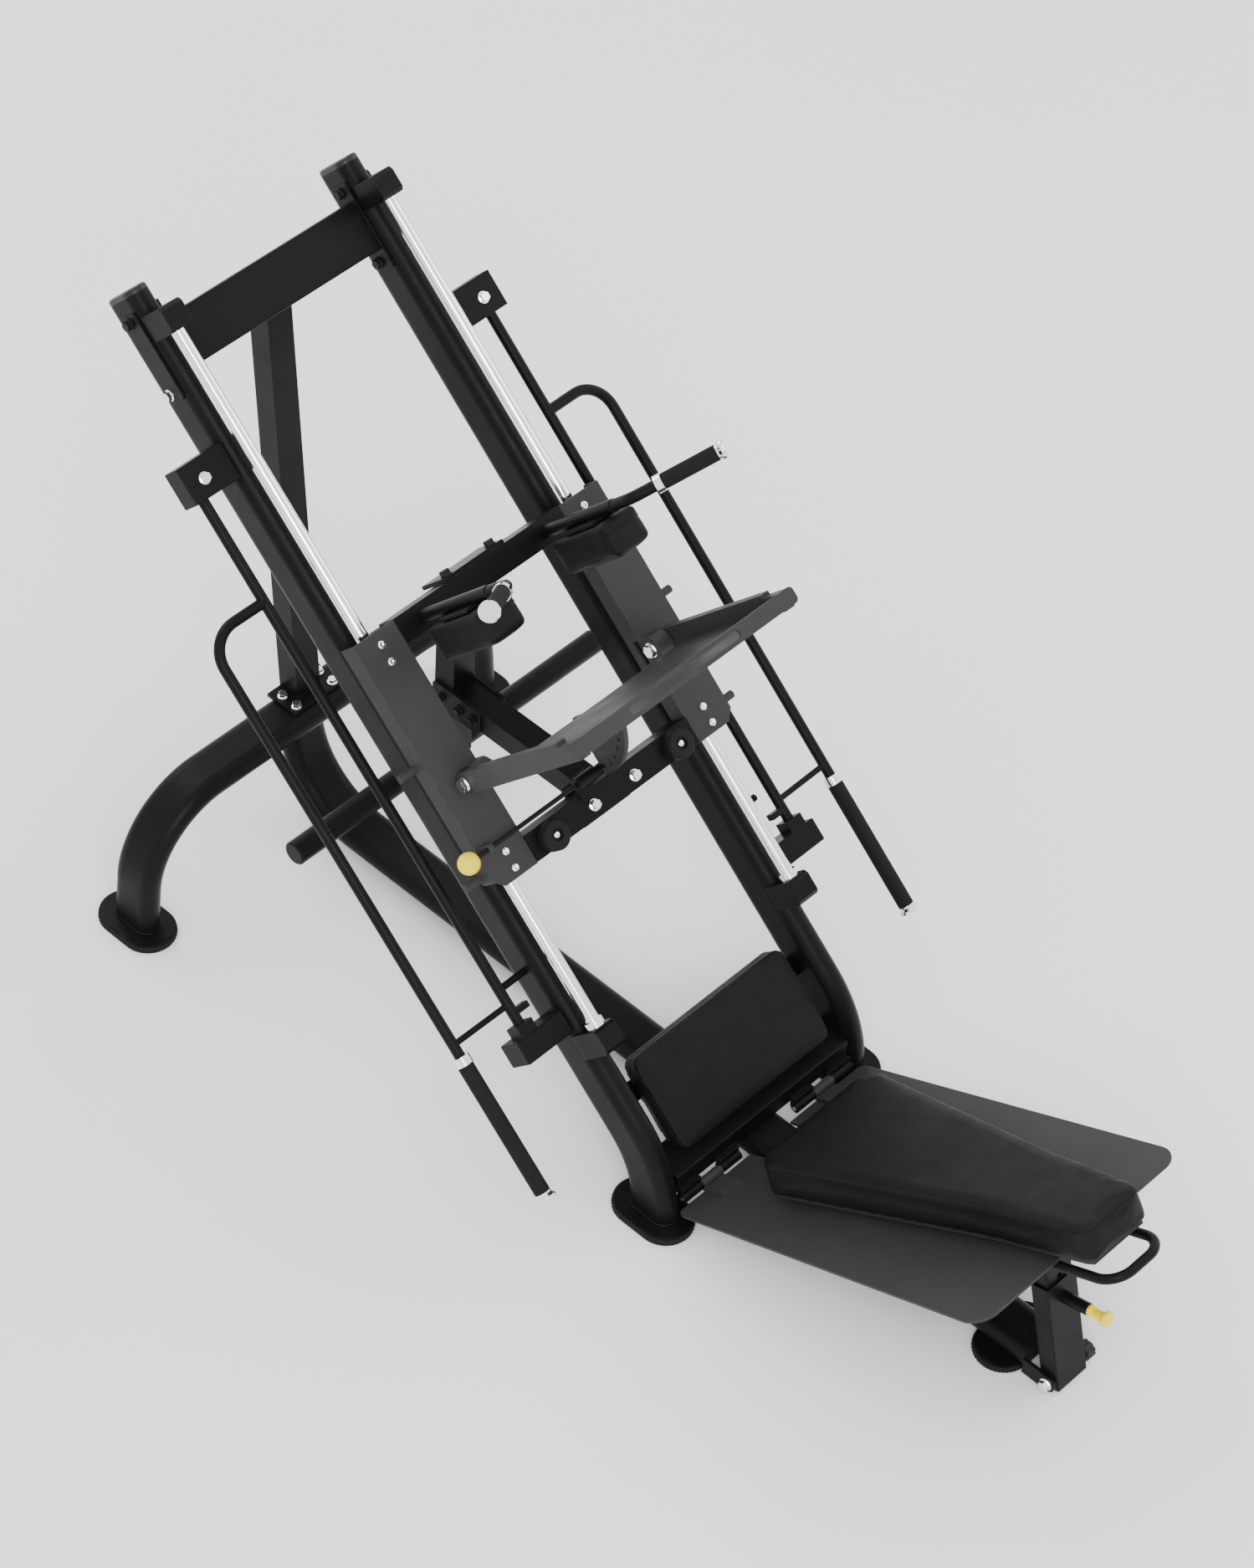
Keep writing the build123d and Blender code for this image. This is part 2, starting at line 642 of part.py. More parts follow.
def box_bar(x, s, n):
    """Rectangular hollow bar across the carriage, open at both ends."""
    hollow = rail_block(x, (s[0] + WALL, s[1] - WALL), (n[0] + WALL, n[1] - WALL))
    return rail_block(x, s, n) - hollow


def pad_hinge_column(x):
    """Fixed lower barrel of a shoulder pad's hinge, standing on the upper crossbar."""
    return ring(
        at(RAIL, x, PAD_HINGE_S, BAR_N[1]),
        at(RAIL, x, PAD_HINGE_S, KNUCKLE_N[0]),
        PAD_HINGE_RADIUS,
        PAD_PIN_RADIUS,
    )


def upper_crossbar(bolts):
    half = CHANNEL_X[0]
    bar = box_bar((-half, half), UPPER_BAR_S, BAR_N)
    for x in (-PAD_HINGE_X, PAD_HINGE_X):
        bar = bar + pad_hinge_column(x)
        bar = bar - rail_rod((x, x), (PAD_HINGE_S,) * 2, (BAR_N[1] - WALL - 1, BAR_N[1] + 1), PAD_PIN_RADIUS)
    tab = rail_block((-74, 74), (UPPER_BAR_S[0] - 8, UPPER_BAR_S[0]), UPPER_TAB_N)
    return cut(bar + tab, bolts)


def lower_tab():
    """Plate under the lower crossbar that the truss beam is welded to."""
    return rail_block((-60, 60), (LOWER_BAR_S[0] - 16, LOWER_BAR_S[1] + 12), (BAR_N[0] - 8, BAR_N[0]))


def lower_crossbar(bolts, lock_bore):
    half = CHANNEL_X[0]
    bar = box_bar((-half, half), LOWER_BAR_S, BAR_N)
    cover = rail_block((-half, half), LOWER_BAR_S, (BAR_N[1], LOWER_PLATE_N))
    tab = lower_tab()
    shelf = rail_block((-72, -34), (LOWER_BAR_S[0] - 34, LOWER_BAR_S[0] + 10), (LOWER_PLATE_N, LOWER_PLATE_N + 5))
    return cut(bar + cover + tab + shelf, [*bolts, lock_bore])


def lock_barrel(lock_bore):
    """Housing of the spring-loaded lock rod, beside the index sector."""
    s = YOKE_S + SECTOR_HOLE_RADIUS
    barrel = rail_rod((-76, -30), (s, s), (YOKE_N, YOKE_N), 13)
    nose = rail_rod((-30, -16), (s, s), (YOKE_N, YOKE_N), 9)
    return barrel + nose - lock_bore


def bumper(x):
    """Round rubber buffer with a dished face."""
    foot = at(RAIL, x, 1117, LOWER_PLATE_N)
    face = at(RAIL, x, 1117, LOWER_PLATE_N + 22)
    body = rod(foot, face, 29)
    body = chamfer(body.edges().sort_by(lambda e: (e.center() - foot).dot(RAIL_OUT))[-1], 4)
    return body - rod(at(RAIL, x, 1117, LOWER_PLATE_N + 16), face, 12)


def truss():
    """Vertical post and level beam that carry the weight bar under the carriage."""
    above = rail_block((-100, 100), (-400, 1800), (BAR_N[0], 900))
    uphill = rail_block((-100, 100), (-400, UPPER_BAR_S[0]), (UPPER_TAB_N[0] - 14, 900))
    tab = lower_tab()
    x = (-TRUSS_HALF, TRUSS_HALF)
    inner = (-TRUSS_HALF + WALL, TRUSS_HALF - WALL)
    post = block(x, TRUSS_POST_Y, (WEIGHT_BAR_Z, 1000))
    post_hollow = block(inner, (TRUSS_POST_Y[0] + WALL, TRUSS_POST_Y[1] - WALL), (WEIGHT_BAR_Z - 1, 1001))
    beam = block(x, (TRUSS_BEAM_Y, TRUSS_POST_Y[0]), TRUSS_BEAM_Z)
    beam_z = (TRUSS_BEAM_Z[0] + WALL, TRUSS_BEAM_Z[1] - WALL)
    beam_hollow = block(inner, (TRUSS_BEAM_Y - 1, TRUSS_POST_Y[0] + 1), beam_z)
    post = cut(post - post_hollow, [level_bar(TRUSS_HALF, WEIGHT_BAR_NECK), above, uphill])
    beam = cut(beam - beam_hollow, [above, tab])
    return post, beam


def truss_clamp(bolts):
    """Pair of plates that clasp the joint of post and beam."""
    plate = block(
        (TRUSS_HALF, TRUSS_HALF + 6),
        (TRUSS_POST_Y[0] - 76, TRUSS_POST_Y[1]),
        (TRUSS_BEAM_Z[0] - 4, TRUSS_BEAM_Z[1] + 4),
    )
    plate = fillet(plate.edges().filter_by(Axis.X), 8)
    return [cut(piece, bolts) for piece in both(plate)]


def truss_bolts():
    z = sum(TRUSS_BEAM_Z) / 2
    seats = [(TRUSS_POST_Y[0] - 56, z), (TRUSS_POST_Y[0] - 22, z), (sum(TRUSS_POST_Y) / 2, z)]
    return [bolt((TRUSS_HALF + 6, y, z), X_AXIS, 15, 8, 6 + WALL) for y, z in seats]


def level_bar(half, radius):
    """Round bar along X on the weight bar's axis."""
    return rod((-half, WEIGHT_BAR_Y, WEIGHT_BAR_Z), (half, WEIGHT_BAR_Y, WEIGHT_BAR_Z), radius)


def weight_bar():
    """Bar for the weight plates: two horns, and between them a thinner neck that sits in the truss post."""
    bar = chamfer(level_bar(WEIGHT_BAR_HALF, WEIGHT_BAR_RADIUS).edges().filter_by(GeomType.CIRCLE), 3)
    return bar - (level_bar(TRUSS_HALF, WEIGHT_BAR_RADIUS + 5) - level_bar(TRUSS_HALF, WEIGHT_BAR_NECK))


def handle_path():
    """Centre line of the right-hand shoulder handle, from its hinge outward."""
    head = at(RAIL, PAD_HINGE_X, PAD_HINGE_S, POST_HEAD_N)
    knee, _ = handle_direction()
    return FilletPolyline(head, knee, along_handle(GRIP_ON_HANDLE[1]), radius=40)


def handle_direction():
    """Bend point of the shoulder handle and the direction of its outer stretch."""
    knee = at(RAIL, PAD_HINGE_X, PAD_HINGE_S, HANDLE_KNEE_N)
    aim = at(RAIL, PAD_HINGE_X + 133, PAD_HINGE_S + 4, HANDLE_KNEE_N + 122)
    return knee, (aim - knee).normalized()


def shoulder_handle():
    """Hinge pin, fixed upper barrel and bent hand bar in one piece."""
    path = handle_path()
    bar = sweep(Plane(origin=path @ 0, z_dir=path % 0) * Circle(HANDLE_RADIUS), path=path)
    pin = rail_rod((PAD_HINGE_X,) * 2, (PAD_HINGE_S,) * 2, (BAR_N[1] - WALL, POST_HEAD_N), PAD_PIN_RADIUS)
    barrel = rail_rod((PAD_HINGE_X,) * 2, (PAD_HINGE_S,) * 2, (KNUCKLE_N[1], POST_HEAD_N), PAD_HINGE_RADIUS)
    return bar + pin + barrel


def along_handle(distance):
    start, direction = handle_direction()
    return start + direction * distance


def shoulder_grip():
    tube = ring(along_handle(GRIP_ON_HANDLE[0]), along_handle(GRIP_ON_HANDLE[1]), 15, HANDLE_RADIUS)
    return chamfer(tube.edges().filter_by(GeomType.CIRCLE).sort_by(lambda e: -e.radius)[:2], 1.5)


def shoulder_chrome():
    """Chrome collar below the grip and flared cap beyond it."""
    low, high = GRIP_ON_HANDLE
    collar = ring(along_handle(low - 14), along_handle(low), 17, HANDLE_RADIUS)
    end = along_handle(high)
    cap = Plane(origin=end, z_dir=handle_direction()[1]).location * flared_cap(15, 20)
    return collar, cap


def flared_cap(radius, lip):
    """Turned end cap: a neck that flares to a rounded lip."""
    points = [(0, 0), (radius, 0), (radius, 3), (lip, 9), (lip, 13), (lip - 3, 16), (0, 16)]
    return turned(make_face(Polyline(*points, close=True)))


def turned(profile):
    """Solid of revolution about Z of a profile drawn with x as radius and y as height."""
    return revolve(Plane.XZ * profile, Axis.Z)


def carriage_parts():
    screws = channel_screws()
    guide_bore = rail_rod((ROD_X,) * 2, (500, 1250), (0, 0), BUSHING_RADIUS)
    channel = side_channel(screws)
    lock_bore = lock_rod_hole()
    write("side_channel_right", channel)
    write("side_channel_left", mirror_x(channel) + lock_guide(lock_bore))
    housings = [housing(s, screws, guide_bore) for s in HOUSING_S]
    write("bearing_housings", *[piece for body in housings for piece in both(body)])
    bushings = []
    for low, high in HOUSING_S:
        liner = ring(at(RAIL, ROD_X, low, 0), at(RAIL, ROD_X, high, 0), BUSHING_RADIUS, ROD_RADIUS + RUNNING)
        bushings.extend(both(liner))
    write("linear_bushings", *bushings)

    tab_bolts = [bolt(at(RAIL, x, UPPER_BAR_S[0] - 8, 20), -RAIL_DOWN, 17, 9, 8) for x in (-56, 56)]
    cover_bolts = [bolt(at(RAIL, x, 1117, LOWER_PLATE_N), RAIL_OUT, 17, 9, 8) for x in (-53, 53)]
    buffer_screws = [button(at(RAIL, x, 1117, LOWER_PLATE_N + 16), RAIL_OUT, 7, 10) for x in (-163, 163)]
    write("upper_crossbar", upper_crossbar(tab_bolts))
    write("lower_crossbar", lower_crossbar(cover_bolts, lock_bore))
    buffers = [cut(bumper(x), buffer_screws) for x in (-163, 163)]
    write("bumpers", *buffers)
    clamp_bolts = [piece for body in truss_bolts() for piece in both(body)]
    post, beam = truss()
    write("truss", cut(post, clamp_bolts), cut(beam, clamp_bolts), *truss_clamp(clamp_bolts))
    write("weight_bar", weight_bar())
    all_screws = [piece for body in screws for piece in both(body)]
    write("carriage_bolts", *all_screws, *cover_bolts, *buffer_screws)
    write("carriage_bolts_black", *tab_bolts, *clamp_bolts)
    pivot = yoke_pivot_bolt()
    write("yoke_pivot_bolts", *both(pivot))

    write("shoulder_handles", *both(shoulder_handle()))
    write("shoulder_grips", *both(shoulder_grip()))
    write("shoulder_handle_chrome", *[piece for body in shoulder_chrome() for piece in both(body)])
    write("lock_barrel", lock_barrel(lock_bore))


def yoke_pivot_bolt():
    """Shoulder bolt of the yoke: plain shank with a hexagon head outside and a nut inside."""
    shank = rail_rod((CHANNEL_X[0], YOKE_ARM_X[1] + 1), (YOKE_S,) * 2, (YOKE_N,) * 2, YOKE_PIVOT_RADIUS)
    head = bolt(at(RAIL, YOKE_ARM_X[1] + 1, YOKE_S, YOKE_N), X_AXIS, 22, 9, 1)
    nut = bolt(at(RAIL, CHANNEL_X[0], YOKE_S, YOKE_N), (-1, 0, 0), 22, 9, 1)
    return shank + head + nut


def lock_parts():
    s = YOKE_S + SECTOR_HOLE_RADIUS
    bar = rail_rod((BALL_X + BALL_RADIUS - 6, LOCK_TIP_X), (s, s), (YOKE_N, YOKE_N), LOCK_ROD_RADIUS)
    ball = Pos(*at(RAIL, BALL_X, s, YOKE_N)) * Sphere(BALL_RADIUS)
    write("lock_rod", bar)
    write("lock_ball", ball - bar)


# ---------------------------------------------------------------- yoke

def yoke_frame():
    """Two arms welded to the foot-press plate, whose front flange has a long finger slot."""
    bore = yoke_bore(YOKE_PIVOT_RADIUS + RUNNING)
    half = YOKE_ARM_WIDE / 2
    arm = rail_block(YOKE_ARM_X, (YOKE_S - half, YOKE_S + half), (YOKE_N, YOKE_FACE_N - 3))
    arm = arm + rail_rod(YOKE_ARM_X, (YOKE_S, YOKE_S), (YOKE_N, YOKE_N), half) - bore
    wide = (YOKE_ARM_X[0] - 1, YOKE_ARM_X[1] + 1)
    tip = rail_block(wide, (YOKE_S - half - 1, YOKE_FLANGE_S[0]), (400, YOKE_FACE_N))
    arm = arm - tip
    return press_plate() + arm + mirror_x(arm)


def press_plate():
    """Foot-press plate square to the rails, with a standing front flange."""
    sheet = rail_block((-YOKE_ARM_X[0], YOKE_ARM_X[0]), YOKE_SHEET_S, (YOKE_SHEET_N, YOKE_FACE_N))
    flange = rail_block((-YOKE_HALF, YOKE_HALF), YOKE_FLANGE_S, (YOKE_FACE_N - 6, YOKE_FACE_N))
    corners = flange.edges().filter_by(lambda e: abs(e.tangent_at(0.5).dot(RAIL_OUT)) > 0.99)
    flange = fillet(corners, 9)
    slot = RAIL.location * (Pos(0, -YOKE_SLOT_S, YOKE_FACE_N - 10) * extrude(SlotOverall(*YOKE_SLOT), 14))
    return sheet + flange - slot


def yoke_sector():
    """Index plate on the centre line under the press plate: a solid disc segment with a row of holes."""
    face = Plane(origin=at(RAIL, -5, YOKE_S, YOKE_N), x_dir=RAIL_OUT, z_dir=X_AXIS)
    down = 1 if face.y_dir.dot(RAIL_DOWN) > 0 else -1
    below = block((SECTOR_LOW_N - YOKE_N, 200), (YOKE_SHEET_S[1] - YOKE_S, 200), (-1, 20))
    if down < 0:
        below = below.mirror(Plane.XZ)
    outline = Circle(SECTOR_RADIUS)
    for angle in SECTOR_HOLE_ANGLES:
        outline = outline - Pos(*polar(SECTOR_HOLE_RADIUS, down * angle)) * Circle(LOCK_ROD_RADIUS + 0.5)
    return face.location * (extrude(outline, 10) & below)


def polar(radius, degrees):
    a = math.radians(degrees)
    return radius * math.cos(a), radius * math.sin(a)


# ---------------------------------------------------------------- shoulder pads

def pad_bracket():
    """Turning knuckle and steel back plate of the right-hand shoulder pad."""
    low, high = KNUCKLE_N[0] + GAP, KNUCKLE_N[1] - GAP
    start, end = at(RAIL, PAD_HINGE_X, PAD_HINGE_S, low), at(RAIL, PAD_HINGE_X, PAD_HINGE_S, high)
    plate = rail_block((PAD_X[0] + 10, PAD_X[1] - 10), (PAD_S[0] - 6, PAD_S[0]), (low, high))
    return plate + rod(start, end, PAD_HINGE_RADIUS) - rod(start, end, PAD_PIN_RADIUS + RUNNING)


def shoulder_pad():
    pad = rail_block(PAD_X, PAD_S, PAD_N)
    return fillet(pad.edges(), 12)


# ---------------------------------------------------------------- safety handles

def safety_bar():
    """Turning rod of the right-hand safety handle with its outer grip bar, brace and pawl."""
    axis_rod = rail_rod((SAFETY_X,) * 2, (264, 1392), (SAFETY_N,) * 2, SAFETY_RADIUS)
    path = FilletPolyline(
        at(RAIL, SAFETY_X, 489, SAFETY_N),
        at(RAIL, OUTER_BAR_X, 489, OUTER_BAR_N),
        at(RAIL, OUTER_BAR_X, GRIP_END_S, OUTER_BAR_N),
        radius=62,
    )
    outer = sweep(Plane(origin=path @ 0, z_dir=path % 0) * Circle(SAFETY_RADIUS), path=path)
    brace = rail_rod((SAFETY_X, OUTER_BAR_X), (1338, 1338), (SAFETY_N, OUTER_BAR_N), 6)
    pawl = rail_block((SAFETY_X - 34, SAFETY_X), (1350, 1362), (SAFETY_N - 9, SAFETY_N + 9))
    return axis_rod + outer + brace + pawl


def safety_grip():
    start, end = at(RAIL, OUTER_BAR_X, GRIP_START_S, OUTER_BAR_N), at(RAIL, OUTER_BAR_X, GRIP_END_S, OUTER_BAR_N)
    tube = ring(start, end, GRIP_RADIUS, SAFETY_RADIUS)
    return chamfer(tube.edges().filter_by(GeomType.CIRCLE).sort_by(lambda e: -e.radius)[:2], 1.5)


def safety_chrome():
    collar = ring(
        at(RAIL, OUTER_BAR_X, GRIP_START_S - 18, OUTER_BAR_N),
        at(RAIL, OUTER_BAR_X, GRIP_START_S, OUTER_BAR_N),
        17.5,
        SAFETY_RADIUS,
    )
    end = Plane(origin=at(RAIL, OUTER_BAR_X, GRIP_END_S, OUTER_BAR_N), z_dir=RAIL_DOWN)
    return collar, end.location * flared_cap(GRIP_RADIUS, 20.5)


# ---------------------------------------------------------------- foot plate and leg

def foot_plate(pin_ears):
    """Sloping steel plate with hinge knuckles, a notch over the spine, pad rails and ears for the leg."""
    outline = make_face(
        Polyline(
            (-PLATE_REAR_HALF, -PLATE_REAR_D),
            (PLATE_REAR_HALF, -PLATE_REAR_D),
            (PLATE_FRONT_HALF, -PLATE_LENGTH),
            (-PLATE_FRONT_HALF, -PLATE_LENGTH),
            close=True,
        )
    )
    sheet = extrude(outline, -PLATE_THICK)
    upright = sheet.edges().filter_by(Axis.Z)
    sheet = fillet([e for e in upright if e.center().Y < -PLATE_LENGTH / 2], 45)
    upright = sheet.edges().filter_by(Axis.Z)
    sheet = fillet([e for e in upright if e.center().Y > -1], 18)
    sheet = PLATE.location * sheet
    sheet = sheet - plate_block((-PLATE_NOTCH_HALF, PLATE_NOTCH_HALF), (-20, PLATE_NOTCH_D), (-40, 20))
    third = (HINGE_X[1] - HINGE_X[0]) / 3
    for side in (-1, 1):
        span = signed((HINGE_X[0] + third + GAP, HINGE_X[0] + 2 * third - GAP), side)
        knuckle = rod((span[0], HINGE_Y, HINGE_Z), (span[1], HINGE_Y, HINGE_Z), HINGE_RADIUS)
        leaf = plate_block(span, (-12, 42), (0, 6))
        bore = rod((span[0], HINGE_Y, HINGE_Z), (span[1], HINGE_Y, HINGE_Z), HINGE_PIN_RADIUS + RUNNING)
        sheet = sheet + (knuckle + leaf - bore)
    for side in (-1, 1):
        sheet = sheet + plate_block(signed((30, 58), side), (170, 770), (0, BACK_PAD_H[0] - 12))
    return sheet + pin_ears[0] + pin_ears[1]


def leg_top():
    """World point of the leg's upper pivot."""
    return at(PLATE, 0, LEG_TOP_D, LEG_TOP_H)


def leg_ears():
    """Two ears under the plate joined by the pin that the leg's head hangs on."""
    top = leg_top()
    shapes = []
    for low, high in ((-46, -38), (38, 46)):
        ear = plate_block((low, high), (LEG_TOP_D - 20, LEG_TOP_D + 20), (LEG_TOP_H, -PLATE_THICK))
        shapes.append(ear + rod((low, top.Y, top.Z), (high, top.Y, top.Z), 17))
    pin = rod((-50, top.Y, top.Z), (50, top.Y, top.Z), TOP_PIN_RADIUS)
    return shapes[0] + pin, shapes[1]


def leg_plane():
    """Plane at the leg's foot pivot whose z axis runs up the leg and whose y axis points to its front."""
    foot = Vector(0, *LEG_PIVOT)
    return Plane(origin=foot, x_dir=(-1, 0, 0), z_dir=leg_top() - foot)


def leg_block(x, front, t):
    return leg_plane().location * block(x, front, t)


def leg_rod(x, front, t, radius):
    start, end = [leg_plane().from_local_coords(Vector(x[k], front[k], t[k])) for k in (0, 1)]
    return rod(start, end, radius)


def leg_box(size, wall, t):
    """Rectangular tube along the leg."""
    half_x, half_y = size[0] / 2, size[1] / 2
    body = leg_block((-half_x, half_x), (-half_y, half_y), t)
    body = fillet(body.edges().filter_by(lambda e: abs(e.tangent_at(0.5).dot(leg_plane().z_dir)) > 0.99), 3)
    return body - leg_block((wall - half_x, half_x - wall), (wall - half_y, half_y - wall), (t[0] - 1, t[1] + 1))


def leg_tube():
    """Lower tube of the leg with the pull pin's barrel welded on its front."""
    front = LEG_OUTER[1] / 2
    body = leg_box(LEG_OUTER, LEG_WALL, LEG_TUBE_T)
    body = body + leg_rod((0, 0), (front - 1, front + 58), (PULL_PIN_T,) * 2, 12)
    body = body - leg_rod((0, 0), (front - LEG_WALL - 1, front + 60), (PULL_PIN_T,) * 2, LEG_HOLE_RADIUS)
    return body - leg_rod((-60, 60), (0, 0), (0, 0), LEG_PIVOT_RADIUS + RUNNING)


def leg_inner_tube():
    """Sliding upper tube of the leg with its row of index holes and a loose pin hole at the head."""
    length = (leg_top() - Vector(0, *LEG_PIVOT)).length
    body = leg_box(LEG_INNER, LEG_WALL, (86, length + 14))
    for k in range(-2, 3):
        body = body - leg_rod((0, 0), (0, 30), (PULL_PIN_T + 24 * k,) * 2, LEG_HOLE_RADIUS + 0.5)
    return body - leg_rod((-60, 60), (0, 0), (length, length), TOP_PIN_RADIUS + OPEN_PIVOT_GAP)


def pull_pin():
    """Spring pin: its shank and its flared pull knob."""
    front = LEG_OUTER[1] / 2
    shank = leg_rod((0, 0), (front - LEG_WALL + 0.5, front + 64), (PULL_PIN_T,) * 2, LEG_HOLE_RADIUS - RUNNING)
    profile = make_face(
        Polyline((0, 0), (11, 0), (12, 4), (9, 12), (10, 30), (15, 36), (15, 42), (13, 44), (0, 44), close=True)
    )
    tip = leg_plane().from_local_coords(Vector(0, front + 60, PULL_PIN_T))
    knob = Plane(origin=tip, z_dir=leg_plane().y_dir).location * turned(profile)
    return shank, knob


def back_pad_outline():
    """Coffin-shaped outline of the back pad, x against distance up the plate."""
    points = [(x, -d) for x, d in PAD_STATIONS] + [(-x, -d) for x, d in reversed(PAD_STATIONS)]
    return make_face(Polyline(*points, close=True))


def back_pad():
    pad = extrude(back_pad_outline(), BACK_PAD_H[1] - BACK_PAD_H[0])
    pad = fillet(pad.edges().filter_by(Axis.Z), 24)
    pad = fillet(pad.faces().sort_by(Axis.Z)[-1].edges(), 8)
    return PLATE.location * Pos(0, 0, BACK_PAD_H[0]) * pad


def pad_board():
    """Plywood base of the back pad."""
    board = extrude(offset(back_pad_outline(), -12), 12)
    return PLATE.location * Pos(0, 0, BACK_PAD_H[0] - 12) * board


def u_handle():
    """Bent round bar under the front of the plate."""
    h = -PLATE_THICK - U_HANDLE_RADIUS
    low, high = U_HANDLE_D
    path = FilletPolyline(
        at(PLATE, -U_HANDLE_HALF, low, h),
        at(PLATE, -U_HANDLE_HALF, high, h),
        at(PLATE, U_HANDLE_HALF, high, h),
        at(PLATE, U_HANDLE_HALF, low, h),
        radius=45,
    )
    return sweep(Plane(origin=path @ 0, z_dir=path % 0) * Circle(U_HANDLE_RADIUS), path=path)


def plate_and_leg_parts():
    write("foot_plate", foot_plate(leg_ears()))
    write("back_pad", back_pad())
    write("pad_board", pad_board())
    write("u_handle", u_handle())
    write("leg_tube", leg_tube())
    write("leg_inner_tube", leg_inner_tube())
    shank, knob = pull_pin()
    write("pull_pin", shank - knob)
    write("pull_knob", knob)


def moving_side_parts():
    for side in ("right", "left"):
        turn = (lambda shape: shape) if side == "right" else mirror_x
        write(f"shoulder_pad_{side}", turn(shoulder_pad()))
        write(f"pad_bracket_{side}", turn(pad_bracket()))
        write(f"safety_bar_{side}", turn(safety_bar()))
        write(f"safety_grip_{side}", turn(safety_grip()))
        write(f"safety_chrome_{side}", *[turn(piece) for piece in safety_chrome()])


frame_parts()
carriage_parts()
yoke = yoke_frame()
write("yoke_frame", yoke)
write("yoke_sector", yoke_sector() - yoke)
lock_parts()
moving_side_parts()
plate_and_leg_parts()
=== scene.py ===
import json
import math

import bmesh
import bpy
from mathutils import Matrix, Vector


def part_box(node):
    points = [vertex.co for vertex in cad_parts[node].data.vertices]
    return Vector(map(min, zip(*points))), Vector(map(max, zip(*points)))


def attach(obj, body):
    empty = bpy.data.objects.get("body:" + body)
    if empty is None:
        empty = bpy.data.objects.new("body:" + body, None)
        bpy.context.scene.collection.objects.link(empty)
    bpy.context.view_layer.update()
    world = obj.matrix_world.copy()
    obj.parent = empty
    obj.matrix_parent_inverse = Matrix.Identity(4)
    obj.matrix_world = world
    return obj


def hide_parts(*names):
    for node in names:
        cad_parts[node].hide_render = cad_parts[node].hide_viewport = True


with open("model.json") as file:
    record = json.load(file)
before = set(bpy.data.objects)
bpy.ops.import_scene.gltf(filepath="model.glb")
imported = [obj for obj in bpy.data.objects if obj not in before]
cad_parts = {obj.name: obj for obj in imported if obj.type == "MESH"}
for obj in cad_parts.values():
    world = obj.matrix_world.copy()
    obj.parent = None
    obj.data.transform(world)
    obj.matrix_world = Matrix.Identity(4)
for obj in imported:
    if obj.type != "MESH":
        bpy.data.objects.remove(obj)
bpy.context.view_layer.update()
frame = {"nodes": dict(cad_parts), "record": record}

NODES = frame["nodes"]

# --- camera: the view from above the left front corner, slightly rolled
CAMERA_PLACE = (-4.6048, -3.8346, 7.1894)
CAMERA_AZIMUTH = math.radians(-49.432)
CAMERA_ELEVATION = math.radians(46.984)
CAMERA_ROLL = math.radians(4.109)
CAMERA_LENS = 113.05
SENSOR = 36.0

# --- slopes of the machine
RAIL_ANGLE = math.radians(42.0)
PLATE_ANGLE = math.radians(26.5)
RAIL_OUT = Vector((0, -math.sin(RAIL_ANGLE), math.cos(RAIL_ANGLE)))
RAIL_DOWN = Vector((0, -math.cos(RAIL_ANGLE), -math.sin(RAIL_ANGLE)))
PLATE_OUT = Vector((0, math.sin(PLATE_ANGLE), math.cos(PLATE_ANGLE)))
PLATE_UP = Vector((0, -math.cos(PLATE_ANGLE), math.sin(PLATE_ANGLE)))
X_AXIS = Vector((1, 0, 0))

# --- cushions
VOXEL = 0.005
CLOTH_FRAMES = 20
CLOTH_PRESSURE = 4.0
CUSHION_INSET = 0.002
SWELL_CAP = 0.0025
SWELL_MARGIN = 0.003
SEAM_RADIUS = 0.0016

# --- small details
RIB_SPACING = 0.0075
RIB_WIDE, RIB_DEEP, RIB_TALL = 0.0034, 0.0032, 0.0088
RIB_MIDDLE = 0.0056
WELD_RADIUS = 0.0028
WELD_LIFT = 0.0012
WELD_SPACING = 0.004
LEG_FOOT_HEIGHT = 0.004
RIPPLE_HEIGHT = 0.0003
RIPPLE_RATE = 1600


# ---------------------------------------------------------------- node helpers

